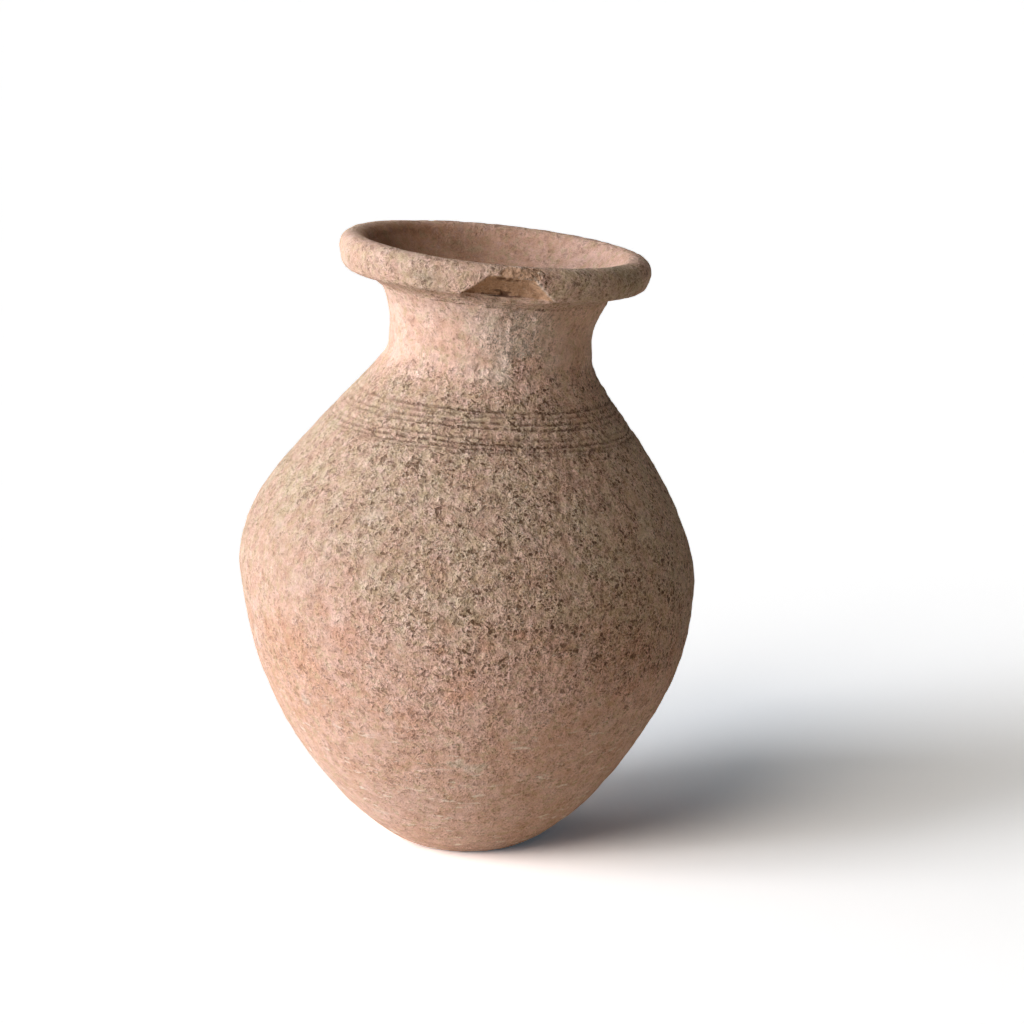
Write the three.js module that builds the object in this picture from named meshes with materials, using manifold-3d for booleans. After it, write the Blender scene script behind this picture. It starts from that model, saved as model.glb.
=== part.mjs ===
// Terracotta storage jar: a rounded body, a waisted neck and a heavy rolled rim with a broken edge.
// The potter made it as five sections of clay, bevelled where they meet and luted together:
// a dished base, the lower body, the shoulder with its combed lines, the neck and the rim.
// Units are millimetres, +Z is up, and the origin is the centre of the flat foot.
import * as THREE from "three";
import { mergeVertices } from "three/addons/utils/BufferGeometryUtils.js";
import Module from "manifold-3d";

// Outside of the body, as the potter's profile from the foot to the crease under the rim
const footRadius = 23.6;
const footRun = 22.6; // how far the base runs outwards before it turns up
const footAngle = 16.5; // degrees above level at which the base leaves the foot
const bellyRadius = 93.7;
const bellyHeight = 116;
const bellyEaseBelow = 59.5; // long ease: the lower body is full and round
const bellyEaseAbove = 35; // short ease: the shoulder turns in at a faint angle
const shoulderRise = 90; // from the belly to the waist of the neck
const waistRadius = 41;
const waistEaseBelow = 10.5;
const waistEaseAbove = 15;
const neckRise = 25.4; // from the waist to the crease under the rim
const neckFlare = 5.6; // how much wider the crease is than the waist
const creaseEase = 4.6;
const creaseLean = 3.9; // how far the neck leans out over that ease

// Walls
const floorThickness = 13;
const bodyWall = 8.5;
const neckWall = 7.5;
const floorBlendHeight = 60; // height at which the thick floor has thinned to the body wall

// Rolled rim
const rimDepth = 18.6; // from the crease to the crest
const rimOverhang = 16.8; // how far the rim stands out past the crease
const rimWidestDrop = 6.5;
const rimFaceDrop = 10.5; // lower end of the rim's face, below its crest
const rimFaceInset = 1.2; // how far the face draws in towards its lower end
const rimCornerRun = 4.5;
const rimCornerDrop = 3.2;
const rimUnderEase = 3.2; // how far the neck's flare runs on into the underside of the rim
const crestInset = 6.4;
const mouthInset = 5.5; // edge of the mouth, inside the crest
const mouthDrop = 4.5;
const mouthRounding = 3.2; // how far the crest runs level before it falls into the mouth
const mouthDish = 1.3; // how far the flare sags below a straight line down to the neck

// Luted joints
const baseJointHeight = 42;
const neckJointBelowWaist = 9.5;
const scarf = 6; // the inner end of a joint lies this far further up the wall than its outer end
const seamRidge = 1.8; // clay pressed up along the inside of each joint
const seamRidgeReach = 9;

// Combed lines round the shoulder
const combLines = 6;
const combPitch = 3.2;
const combWidth = 1.5;
const combDepth = 0.7;
const combGapBelowJoint = 6.5;

// How the soft clay settled: the shoulder moved over to +X, the neck leans on, and all of it dips
const shoulderShift = 9;
const shiftStartHeight = 100;
const neckShift = 3.5;
const dipAngle = 5.8; // degrees
const dipStartHeight = 25;

// Break in the front of the rim: its outline seen from the front, and the hollow seen from the side
const breakAcross = 5.6; // its middle, to the right of the axis
const breakTopWidth = 13;
const breakFootWidth = 36;
const breakTopDrop = 3.8;
const breakHollowDrop = 5;
const breakHollowInset = 9.9; // how far the hollow's bend lies inside the rim's face
const breakLedge = 2.6; // strip of the rim's underside left outside the crease
const breakFootRise = 4; // lower end of the break, above the crease
const breakClearance = 2; // how far the lost piece is drawn past the rim's face
const breakSteps = 6;

// Facets
const sides = 60;
const outerStep = 8;
const innerStep = 10.5;
const rimSteps = 4;

const degrees = Math.PI / 180;
const waistHeight = bellyHeight + shoulderRise;
const creaseHeight = waistHeight + neckRise;
const creaseRadius = waistRadius + neckFlare;
const rimHeight = creaseHeight + rimDepth;
const rimRadius = creaseRadius + rimOverhang;
const crestRadius = rimRadius - crestInset;
const mouthRadius = crestRadius - mouthInset;

const wasm = await Module();
wasm.setup();

// Smooth step from 0 to 1 between two limits.
function ease(value, from, to) {
  return THREE.MathUtils.smoothstep(value, from, to);
}

// The outside as one path of (radius, height) points: base and lower body, shoulder, neck.
const outside = new THREE.Path()
  .moveTo(footRadius, 0)
  .bezierCurveTo(
    footRadius + footRun * Math.cos(footAngle * degrees),
    footRun * Math.sin(footAngle * degrees),
    bellyRadius,
    bellyHeight - bellyEaseBelow,
    bellyRadius,
    bellyHeight,
  )
  .bezierCurveTo(
    bellyRadius,
    bellyHeight + bellyEaseAbove,
    waistRadius,
    waistHeight - waistEaseBelow,
    waistRadius,
    waistHeight,
  )
  .bezierCurveTo(
    waistRadius,
    waistHeight + waistEaseAbove,
    creaseRadius - creaseLean,
    creaseHeight - creaseEase,
    creaseRadius,
    creaseHeight,
  );
const outsideLength = outside.getLength();

// Distance along the outside, from the foot, at which it reaches a height.
function distanceAt(height) {
  let low = 0;
  let high = outsideLength;
  for (let i = 0; i < 40; i += 1) {
    const middle = (low + high) / 2;
    if (outside.getPoint(middle / outsideLength).y < height) low = middle;
    else high = middle;
  }
  return (low + high) / 2;
}

const baseJoint = distanceAt(baseJointHeight);
const bellyJoint = distanceAt(bellyHeight);
const neckJoint = distanceAt(waistHeight - neckJointBelowWaist);

// A point on the wall: distance along the outside, and depth into the clay along its normal.
function wallPoint(distance, depth) {
  const share = distance / outsideLength;
  const point = outside.getPoint(share);
  const along = outside.getTangent(share);
  return new THREE.Vector2(point.x - along.y * depth, point.y + along.x * depth);
}

function outer(distance) {
  return wallPoint(distance, 0);
}

// The wall thins from the floor to the body and again to the neck, with a ridge at each joint.
function inner(distance) {
  const height = outer(distance).y;
  const floorShare = 1 - ease(height, 0, floorBlendHeight);
  const neckShare = ease(height, bellyHeight, waistHeight);
  let depth = bodyWall + (floorThickness - bodyWall) * floorShare;
  depth += (neckWall - bodyWall) * neckShare;
  for (const joint of [baseJoint, bellyJoint, neckJoint]) {
    const away = Math.abs(distance - joint - scarf) / seamRidgeReach;
    depth += seamRidge * (1 - ease(away, 0, 1));
  }
  return wallPoint(distance, depth);
}

// Evenly spaced distances from one to another, both included.
function spaced(from, to, step) {
  const count = Math.max(1, Math.ceil(Math.abs(to - from) / step));
  return Array.from({ length: count + 1 }, (_, i) => from + ((to - from) * i) / count);
}

// The clay settles: every ring moves over towards +X and dips on that side, more so higher up.
function settle(geometry) {
  const position = geometry.getAttribute("position");
  for (let i = 0; i < position.count; i += 1) {
    const x = position.getX(i);
    const z = position.getZ(i);
    const leaning = Math.max(0, z - waistHeight) / (rimHeight - waistHeight);
    const shift = shoulderShift * ease(z, shiftStartHeight, waistHeight) + neckShift * leaning;
    const dip = dipAngle * degrees * ease(z, dipStartHeight, bellyHeight);
    position.setX(i, x + shift);
    position.setZ(i, z - x * Math.tan(dip));
  }
  return geometry;
}

// A ring of clay: a closed profile turned about the axis, stood upright and settled.
function turned(profile) {
  const geometry = new THREE.LatheGeometry(profile, sides);
  geometry.rotateX(Math.PI / 2);
  geometry.deleteAttribute("normal");
  geometry.deleteAttribute("uv");
  return settle(mergeVertices(geometry, 1e-4));
}

// The same with the profile run the other way round. Sections turned in turn one way and the
// other split the faces of a shared joint along the same diagonals, so that they meet exactly.
function turnedBack(profile) {
  const geometry = turned(profile.toReversed());
  geometry.index.array.reverse();
  return geometry;
}

// Profile of a wall section between two joints, with its outside given as a list of points.
function sectionProfile(outerPoints, from, to) {
  const innerPoints = spaced(to + scarf, from + scarf, innerStep).map(inner);
  return [...outerPoints, ...innerPoints, outerPoints[0]];
}

// The base closes on the axis: a flat foot outside and a flat floor inside.
function baseGeometry() {
  const outerPoints = spaced(0, baseJoint, outerStep).map(outer);
  const innerPoints = spaced(baseJoint + scarf, 0, innerStep).map(inner);
  const floor = innerPoints[innerPoints.length - 1].y;
  return turned([
    new THREE.Vector2(0, 0),
    ...outerPoints,
    ...innerPoints,
    new THREE.Vector2(0, floor),
  ]);
}

function lowerBodyGeometry() {
  const outerPoints = spaced(baseJoint, bellyJoint, outerStep).map(outer);
  return turnedBack(sectionProfile(outerPoints, baseJoint, bellyJoint));
}

// The shoulder carries the combed lines, each a V cut square to the wall.
function shoulderGeometry() {
  const combTop = neckJoint - combGapBelowJoint;
  const combFoot = combTop - (combLines - 1) * combPitch;
  const below = spaced(bellyJoint, combFoot - combWidth / 2, outerStep).slice(0, -1);
  const above = spaced(combTop + combWidth / 2, neckJoint, outerStep).slice(1);
  const combed = [];
  for (let i = 0; i < combLines; i += 1) {
    const middle = combFoot + i * combPitch;
    combed.push(
      outer(middle - combWidth / 2),
      wallPoint(middle, combDepth),
      outer(middle + combWidth / 2),
    );
  }
  const outerPoints = [...below.map(outer), ...combed, ...above.map(outer)];
  return turned(sectionProfile(outerPoints, bellyJoint, neckJoint));
}

// The neck runs up to the crease under the rim, where the rim sits square across its wall.
function neckGeometry() {
  const outerPoints = spaced(neckJoint, outsideLength, outerStep).map(outer);
  const innerPoints = spaced(outsideLength, neckJoint + scarf, innerStep).map(inner);
  return turnedBack([...outerPoints, ...innerPoints, outerPoints[0]]);
}

// The rolled rim: underside, lower corner, face, crest, and the flare of the mouth down to the neck.
function rimGeometry() {
  const crease = outer(outsideLength);
  const underEase = outside.getTangent(1).multiplyScalar(rimUnderEase).add(crease);
  const bore = inner(outsideLength);
  const faceRadius = rimRadius - rimFaceInset;
  const faceFoot = rimHeight - rimFaceDrop;
  const roll = new THREE.Path()
    .moveTo(crease.x, crease.y)
    .quadraticCurveTo(
      underEase.x,
      underEase.y,
      faceRadius - rimCornerRun,
      faceFoot - rimCornerDrop,
    )
    .quadraticCurveTo(faceRadius - rimFaceInset, faceFoot - rimCornerDrop, faceRadius, faceFoot)
    .lineTo(rimRadius, rimHeight - rimWidestDrop)
    .quadraticCurveTo(rimRadius, rimHeight, crestRadius, rimHeight)
    .quadraticCurveTo(crestRadius - mouthRounding, rimHeight, mouthRadius, rimHeight - mouthDrop)
    .quadraticCurveTo(
      (mouthRadius + bore.x) / 2,
      (rimHeight - mouthDrop + bore.y) / 2 - 2 * mouthDish,
      bore.x,
      bore.y,
    );
  const profile = roll.curves.flatMap((curve) =>
    curve.getPoints(curve.isLineCurve ? 1 : rimSteps).slice(0, -1),
  );
  return turned([...profile, bore, crease]);
}

// A flat outline given depth, ready to cut with.
function cutter(outline, depth) {
  const geometry = new THREE.ExtrudeGeometry(outline, {
    depth,
    bevelEnabled: false,
    curveSegments: breakSteps,
  });
  geometry.deleteAttribute("normal");
  geometry.deleteAttribute("uv");
  return geometry.rotateX(Math.PI / 2);
}

// A geometry as a solid of the settled jar.
function solidOf(geometry) {
  return new wasm.Manifold(
    new wasm.Mesh({
      numProp: 3,
      vertProperties: geometry.getAttribute("position").array,
      triVerts: new Uint32Array(geometry.index.array),
    }),
  );
}

// The lost piece of the rim: what its front outline and its side outline have in common.
function lostPiece() {
  const top = rimHeight - breakTopDrop;
  const foot = creaseHeight + breakFootRise;
  const reach = rimRadius + breakClearance;
  const left = breakAcross - breakFootWidth / 2;
  const right = breakAcross + breakFootWidth / 2;
  const front = new THREE.Shape()
    .moveTo(left, foot)
    .lineTo(right, foot)
    .lineTo(breakAcross + breakTopWidth / 2, top)
    .lineTo(breakAcross - breakTopWidth / 2, top)
    .closePath();
  const bend = rimRadius - breakHollowInset;
  const side = new THREE.Shape()
    .moveTo(reach, foot)
    .lineTo(reach, top)
    .quadraticCurveTo(bend, rimHeight - breakHollowDrop, creaseRadius + breakLedge, foot)
    .closePath();
  const fromFront = cutter(front, reach);
  const fromSide = cutter(side, right - left)
    .rotateZ(-Math.PI / 2)
    .translate(right, 0, 0);
  const [frontSolid, sideSolid] = [fromFront, fromSide].map((geometry) =>
    solidOf(settle(mergeVertices(geometry, 1e-4))),
  );
  return frontSolid.intersect(sideSolid);
}

function brokenRimGeometry() {
  const cut = solidOf(rimGeometry()).subtract(lostPiece()).getMesh();
  return new THREE.BufferGeometry()
    .setAttribute("position", new THREE.BufferAttribute(cut.vertProperties, cut.numProp))
    .setIndex(new THREE.BufferAttribute(cut.triVerts, 1));
}

// Fired clay: pink-buff below and in the neck, greyer over the weathered shoulder and rim.
const clayColours = {
  base: 0xbf9377,
  lower_body: 0xc39a7d,
  shoulder: 0xb09078,
  neck: 0xc9a086,
  rim: 0xb5967c,
};

const jar = new THREE.Group();
function addPiece(name, geometry) {
  const material = new THREE.MeshStandardMaterial({
    color: clayColours[name],
    roughness: 0.95,
    metalness: 0,
  });
  geometry.computeVertexNormals();
  const piece = new THREE.Mesh(geometry, material);
  piece.name = name;
  jar.add(piece);
}

addPiece("base", baseGeometry());
addPiece("lower_body", lowerBodyGeometry());
addPiece("shoulder", shoulderGeometry());
addPiece("neck", neckGeometry());
addPiece("rim", brokenRimGeometry());

export default jar;
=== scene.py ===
import math
import time

import bpy
import numpy as np
from mathutils import Matrix, Vector


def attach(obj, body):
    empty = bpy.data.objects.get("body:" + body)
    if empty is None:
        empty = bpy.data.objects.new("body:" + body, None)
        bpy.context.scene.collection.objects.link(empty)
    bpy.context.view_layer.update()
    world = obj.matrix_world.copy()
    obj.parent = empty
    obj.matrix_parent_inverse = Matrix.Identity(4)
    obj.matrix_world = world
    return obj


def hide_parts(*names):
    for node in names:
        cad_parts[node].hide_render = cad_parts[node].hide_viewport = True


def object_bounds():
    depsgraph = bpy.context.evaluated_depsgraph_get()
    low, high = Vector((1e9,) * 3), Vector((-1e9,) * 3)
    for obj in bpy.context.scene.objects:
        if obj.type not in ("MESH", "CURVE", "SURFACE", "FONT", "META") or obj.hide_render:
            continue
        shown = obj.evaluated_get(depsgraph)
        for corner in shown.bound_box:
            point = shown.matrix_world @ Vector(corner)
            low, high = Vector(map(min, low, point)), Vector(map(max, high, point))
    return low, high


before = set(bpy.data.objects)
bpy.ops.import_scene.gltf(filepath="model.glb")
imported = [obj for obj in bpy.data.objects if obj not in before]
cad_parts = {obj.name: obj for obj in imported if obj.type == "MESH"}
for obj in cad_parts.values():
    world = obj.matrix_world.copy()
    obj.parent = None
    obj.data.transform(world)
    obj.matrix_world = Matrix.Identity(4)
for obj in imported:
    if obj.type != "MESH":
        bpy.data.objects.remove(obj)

startTime = time.time()
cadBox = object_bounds()
mm = 0.001
print("frame loaded:", ", ".join(sorted(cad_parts)))

# The tables hold what a user would change: lengths in mm, angles in degrees, heights above the foot.
# Degrees round the jar are -90 at the front, 0 on the right and 180 on the left.


# Noise on a lattice of hashed numbers, so that every run gives the same jar.
def hashed(cells, seed):
    # one number from 0 to 1 for each whole-numbered cell, mixed by multiplying, shifting and exclusive or
    mixed = cells.astype(np.int64) * np.array([73856093, 19349663, 83492791])
    value = (mixed[..., 0] ^ mixed[..., 1] ^ mixed[..., 2]) + seed * 668265263
    value = (value ^ (value >> 13)) * 1274126177 & 0xFFFFFFFF
    value = (value ^ (value >> 16)) * 2246822519 & 0xFFFFFFFF
    return ((value ^ (value >> 13)) & 0xFFFFFF) / float(0xFFFFFF)


def noise(points, size, seed):
    # values at the corners of cells of this size, blended by the quintic fade 6t^5 - 15t^4 + 10t^3
    scaled = points / size + 17.31 * seed
    corner = np.floor(scaled)
    t = scaled - corner
    t = t * t * t * (t * (t * 6 - 15) + 10)
    total = np.zeros(points.shape[:-1])
    for i in range(8):
        step = np.array([i & 1, i >> 1 & 1, i >> 2])
        weight = np.prod(np.where(step, t, 1 - t), axis=-1)
        total += weight * hashed(corner + step, seed)
    return total * 2 - 1


def scattered(points, spacing, seed, chance, radius, length=(0.0, 0.0)):
    # depth from 0 to 1 of hollows strewn one to a cell: balls, or rods that lie along the wall.
    # The distance to a rod is the distance to the nearest point of its middle line.
    cell = np.floor(points / spacing)
    depth = np.zeros(points.shape[:-1])
    for i in range(27):
        here = cell + np.array([i % 3, i // 3 % 3, i // 9]) - 1
        jitter = np.stack([hashed(here, seed + k) for k in (1, 2, 3)], -1)
        centre = (here + 0.15 + 0.7 * jitter) * spacing
        size = radius[0] + (radius[1] - radius[0]) * hashed(here, seed + 4) ** 2
        away = points - centre
        if length[1] > 0:
            angle = hashed(here, seed + 5) * math.pi
            around = np.arctan2(centre[..., 1], centre[..., 0])
            level = np.cos(angle)
            rod = np.stack([-np.sin(around) * level, np.cos(around) * level, np.sin(angle)], -1)
            half = (length[0] + (length[1] - length[0]) * hashed(here, seed + 6)) / 2
            along = np.clip(np.sum(away * rod, -1), -half, half)
            away = away - along[..., None] * rod
        near = np.clip(1 - np.linalg.norm(away, axis=-1) / size, 0, 1)
        near = near * near * (3 - 2 * near) * (hashed(here, seed) < chance)
        depth = np.maximum(depth, near)
    return depth


def ease(value, low, high):
    # 0 below low, 1 above high, and the smooth step 3t^2 - 2t^3 between them
    t = np.clip((value - low) / (high - low), 0, 1)
    return t * t * (3 - 2 * t)


def bump(value, middle, reach):
    # 1 at the middle, falling softly to 0 at the reach on either side
    return 1 - ease(np.abs(value - middle), 0, reach)


def facing(turn, middle, reach):
    # the same for angles in degrees, which run on from 180 to -180
    return bump((turn - middle + 180) % 360 - 180, 0, reach)


# The section of the jar, as a profile of (radius, height) points.
def bezier(*points, steps=400):
    # Bernstein form: the sum of each point times its binomial weight
    t = np.linspace(0, 1, steps)[:, None]
    n = len(points) - 1
    return sum(math.comb(n, i) * (1 - t) ** (n - i) * t ** i * np.array(p, float)
               for i, p in enumerate(points))


def joined(*curves):
    # curves end to end, without the doubled end points
    return np.vstack([curves[0]] + [c[1:] for c in curves[1:]])


def lengthAlong(path):
    # the running sum of the distances from point to point
    return np.concatenate([[0], np.cumsum(np.linalg.norm(np.diff(path, axis=0), axis=1))])


def pointsAt(path, distances):
    # the points that lie these distances along a path
    run = lengthAlong(path)
    return np.stack([np.interp(distances, run, path[:, k]) for k in (0, 1)], -1)


jar = {
    "footRadius": 23.6, "footRun": 22.6, "footAngle": 16.5,
    "bellyRadius": 93.7, "bellyHeight": 116.0, "bellyEaseBelow": 59.5, "bellyEaseAbove": 35.0,
    "waistRadius": 41.0, "waistHeight": 206.0, "waistEaseBelow": 10.5, "waistEaseAbove": 15.0,
    "creaseRadius": 46.6, "creaseHeight": 231.4, "creaseEase": 4.6, "creaseLean": 3.9,
    "floorThickness": 13.0, "bodyWall": 8.5, "neckWall": 7.5, "floorBlendHeight": 60.0,
    "baseJointHeight": 42.0, "neckJointHeight": 196.5,
    "scarf": 6.0, "seamRidge": 1.8, "seamRidgeReach": 9.0,
    "shoulderShift": 9.0, "shiftStartHeight": 100.0, "neckShift": 3.5,
    "dipAngle": 5.8, "dipStartHeight": 25.0,
    "neckOver": 0.5, "neckOverRise": 8.0, "neckOverReach": 24.0,  # how far the neck alone stands over to +X
    "columns": 768,
    "axisGap": 0.05,  # how close the first and the last ring come to the axis
}


def outsideProfile():
    # three cubic curves: foot to belly, belly to waist, and waist to the crease under the rim
    j = jar
    lean = math.radians(j["footAngle"])
    foot = (j["footRadius"], 0)
    footEase = (j["footRadius"] + j["footRun"] * math.cos(lean), j["footRun"] * math.sin(lean))
    belly = (j["bellyRadius"], j["bellyHeight"])
    waist = (j["waistRadius"], j["waistHeight"])
    crease = (j["creaseRadius"], j["creaseHeight"])
    lower = bezier(foot, footEase, (belly[0], belly[1] - j["bellyEaseBelow"]), belly)
    upper = bezier(belly, (belly[0], belly[1] + j["bellyEaseAbove"]),
                   (waist[0], waist[1] - j["waistEaseBelow"]), waist)
    neck = bezier(waist, (waist[0], waist[1] + j["waistEaseAbove"]),
                  (crease[0] - j["creaseLean"], crease[1] - j["creaseEase"]), crease)
    return joined(lower, upper, neck)


outside = outsideProfile()
outsideRun = lengthAlong(outside)


def distanceAt(height):
    # how far along the outside a height comes
    return float(np.interp(height, outside[:, 1], outsideRun))


joint = {
    "base": distanceAt(jar["baseJointHeight"]),
    "belly": distanceAt(jar["bellyHeight"]),
    "neck": distanceAt(jar["neckJointHeight"]),
    "rim": outsideRun[-1],
}


def insideProfile():
    # the outside moved into the clay along its normal, with a ridge of clay at each joint
    along = np.gradient(outside, outsideRun, axis=0)
    along /= np.linalg.norm(along, axis=1)[:, None]
    height = outside[:, 1]
    thick = jar["bodyWall"] + (jar["floorThickness"] - jar["bodyWall"]) * (
        1 - ease(height, 0, jar["floorBlendHeight"]))
    thick += (jar["neckWall"] - jar["bodyWall"]) * ease(height, jar["bellyHeight"], jar["waistHeight"])
    for name in ("base", "belly", "neck"):
        away = np.abs(outsideRun - joint[name] - jar["scarf"]) / jar["seamRidgeReach"]
        thick += jar["seamRidge"] * (1 - ease(away, 0, 1))
    return outside + thick[:, None] * np.stack([-along[:, 1], along[:, 0]], -1)


inside = insideProfile()


rim = {
    "height": 250.0, "radius": 63.4, "widestDrop": 6.5, "faceDrop": 10.5, "faceInset": 1.2,
    "cornerRun": 4.5, "cornerDrop": 3.2, "underEase": 3.2, "crestInset": 6.4, "mouthInset": 5.5,
    "mouthDrop": 4.5, "mouthRounding": 4.0, "mouthDish": 1.3,
    "undersideSag": 1.2,  # how far the underside hangs lower on the left
    "lumps": 0.25, "fineLumps": 0.12,  # unevenness of the hand-rolled lip
}


def rimProfile():
    # underside, lower corner, face, crest, edge of the mouth and flare down to the bore
    r = rim
    crease, bore = outside[-1], inside[-1]
    top = r["height"]
    face = (r["radius"] - r["faceInset"], top - r["faceDrop"])
    widest = (r["radius"], top - r["widestDrop"])
    corner = (face[0] - r["cornerRun"], face[1] - r["cornerDrop"])
    crest = (r["radius"] - r["crestInset"], top)
    mouth = (crest[0] - r["mouthInset"], top - r["mouthDrop"])
    dish = ((mouth[0] + bore[0]) / 2, (mouth[1] + bore[1]) / 2 - 2 * r["mouthDish"])
    along = outside[-1] - outside[-2]
    under = crease + r["underEase"] * along / np.linalg.norm(along)
    return joined(
        bezier(crease, under, corner, steps=60),
        bezier(corner, (face[0] - r["faceInset"], corner[1]), face, steps=80),
        bezier(face, widest, steps=40),
        bezier(widest, (widest[0], top), crest, steps=120),
        bezier(crest, (crest[0] - r["mouthRounding"], top), mouth, steps=80),
        bezier(mouth, dish, bore, steps=120),
    )


def rowsBetween(path, start, end, spacing):
    # points at even steps, of about this spacing, from one distance along a path to another
    count = max(2, int(round(abs(end - start) / spacing)) + 1)
    return pointsAt(path, np.linspace(start, end, count))


combing = {
    "heights": (190.5, 188.7, 186.6, 184.7, 181.1, 179.1, 177.4, 176.2),
    "depths": (0.95, 0.55, 0.8, 0.85, 0.6, 1.0, 0.85, 0.5),
    "width": 1.3,
    "wander": 0.35, "shake": 1.3,  # how far the lines stray over a few cm, and from grain to grain
    "ripple": 0.7,  # share of the depth that the lines keep where they are worn soft
    "rise": (2.4, 0.5),  # degrees that the comb ran upwards to the right, on the left and right half
    "bandMargin": 4.0,  # how far the finer rows reach below the lowest line
}


rowSpacing = {  # mm from row to row, closest where the comb's lines are
    "baseOut": 0.8, "bodyOut": 0.78, "shoulderOut": 1.2, "combing": 0.55, "neckOut": 0.6, "roll": 0.65,
    "neckIn": 1.2, "shoulderIn": 7.0, "bodyIn": 4.5, "baseIn": 3.0,
}


# One profile runs from the middle of the foot up the outside, over the rim and down the inside to
# the middle of the floor. Marks say where each section of clay begins and ends on it.
def wholeProfile():
    roll = rimProfile()
    bandFoot = distanceAt(min(combing["heights"]) - combing["bandMargin"])
    innerRun = lengthAlong(inside)
    neckStop, bellyStop, baseStop = (float(np.interp(joint[k] + jar["scarf"], outsideRun, innerRun))
                                     for k in ("neck", "belly", "base"))
    gap, axis = rowSpacing, jar["axisGap"]
    strips = [
        ("foot", bezier((axis, 0), (jar["footRadius"], 0), steps=14)),
        ("baseOut", rowsBetween(outside, 0, joint["base"], gap["baseOut"])),
        ("bodyOut", rowsBetween(outside, joint["base"], joint["belly"], gap["bodyOut"])),
        ("shoulderOut", joined(rowsBetween(outside, joint["belly"], bandFoot, gap["shoulderOut"]),
                               rowsBetween(outside, bandFoot, joint["neck"], gap["combing"]))),
        ("neckOut", rowsBetween(outside, joint["neck"], joint["rim"], gap["neckOut"])),
        ("roll", rowsBetween(roll, 0, lengthAlong(roll)[-1], gap["roll"])),
        ("neckIn", rowsBetween(inside, innerRun[-1], neckStop, gap["neckIn"])),
        ("shoulderIn", rowsBetween(inside, neckStop, bellyStop, gap["shoulderIn"])),
        ("bodyIn", rowsBetween(inside, bellyStop, baseStop, gap["bodyIn"])),
        ("baseIn", rowsBetween(inside, baseStop, 0, gap["baseIn"])),
        ("floor", bezier(inside[0], (axis, inside[0][1]), steps=10)),
    ]
    marks, rows = {}, [strips[0][1][:1]]
    for name, points in strips:
        first = sum(map(len, rows)) - 1
        rows.append(points[1:])
        marks[name] = (first, sum(map(len, rows)) - 1)
    return np.vstack(rows), marks


profile, marks = wholeProfile()
print("profile:", len(profile), "rows,", {k: b - a for k, (a, b) in marks.items()})


def profileNormals():
    # the tangent averaged over about 1.5 mm each way, turned a quarter turn clockwise
    run = lengthAlong(profile)
    ahead, behind = pointsAt(profile, run + 1.5), pointsAt(profile, run - 1.5)
    along = ahead - behind
    normal = np.stack([along[:, 1], -along[:, 0]], -1)
    return normal / np.linalg.norm(normal, axis=1)[:, None]


normals = profileNormals()
theta = np.arange(jar["columns"]) * 2 * math.pi / jar["columns"] - math.pi / 2
cosT, sinT = np.cos(theta), np.sin(theta)


def ringed(pairs):
    # turns (radius, height) pairs about the axis: rows by columns of (r cos, r sin, height)
    grid = np.empty((len(pairs), len(theta), 3))
    grid[..., 0] = pairs[:, :1] * cosT
    grid[..., 1] = pairs[:, :1] * sinT
    grid[..., 2] = pairs[:, 1:]
    return grid


def settled(points):
    # the CAD's own settling: rings move to +X and dip on that side, more so higher up
    j = jar
    x, z = points[..., 0], points[..., 2]
    leaning = np.maximum(0, z - j["waistHeight"]) / (rim["height"] - j["waistHeight"])
    shift = j["shoulderShift"] * ease(z, j["shiftStartHeight"], j["waistHeight"]) + j["neckShift"] * leaning
    shift += j["neckOver"] * bump(z, j["waistHeight"] + j["neckOverRise"], j["neckOverReach"])
    dip = math.radians(j["dipAngle"]) * ease(z, j["dipStartHeight"], j["bellyHeight"])
    return np.stack([x + shift, points[..., 1], z - x * np.tan(dip)], -1)


def spanMask(*names):
    # 1 on the rows of the named strips
    mask = np.zeros(len(profile))
    for name in names:
        first, last = marks[name]
        mask[first:last + 1] = 1
    return mask[:, None]


def flake(grid, turn, height, wide, tall, depth, seed):
    # a shallow scar: 1 inside an oval on the wall, with a wavering edge
    angle = math.radians(turn)
    x, y, z = grid[..., 0], grid[..., 1], grid[..., 2]
    radius = np.hypot(x, y)
    off = np.angle(np.exp(1j * (np.arctan2(y, x) - angle))) * radius
    span = np.hypot(off / wide, (z - height) / tall) + 0.25 * noise(grid, 3.0, seed)
    return (1 - ease(span, 0.55, 1.0)) * depth


wear = {
    # the heights between which each skin comes in or goes out
    "weatherIn": (72, 140), "weatherOut": (190, 206), "roughIn": (45, 110), "roughOut": (198, 210),
    "scrapedOut": (46, 80), "slipIn": (177, 201), "scalyIn": (196, 203), "scalyOut": (228, 233),
    "crumblyIn": (236, 241), "greenIn": (230, 238),
    # degrees round the jar, and how far each skin reaches either way
    "smoothSide": (-172, 95), "smootherSide": (-150, 50), "smoothestSide": (-125, 34), "scalySide": (-76, 42),
    "crumblySide": (-76, 19), "greenSide": (-38, 36), "greenSpotSide": (-116, 12), "warmSide": (-150, 60),
    "ruddySide": (-50, 45), "litInsideSide": (30, 100), "wornCombSide": (-178, 80),
}
# Redder stains: degrees round the jar, height, half width, half height.
stains = ((-95, 112, 4, 3), (-96, 102, 3, 3.5), (-78, 111, 5, 3), (-120, 101, 12, 7))
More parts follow.
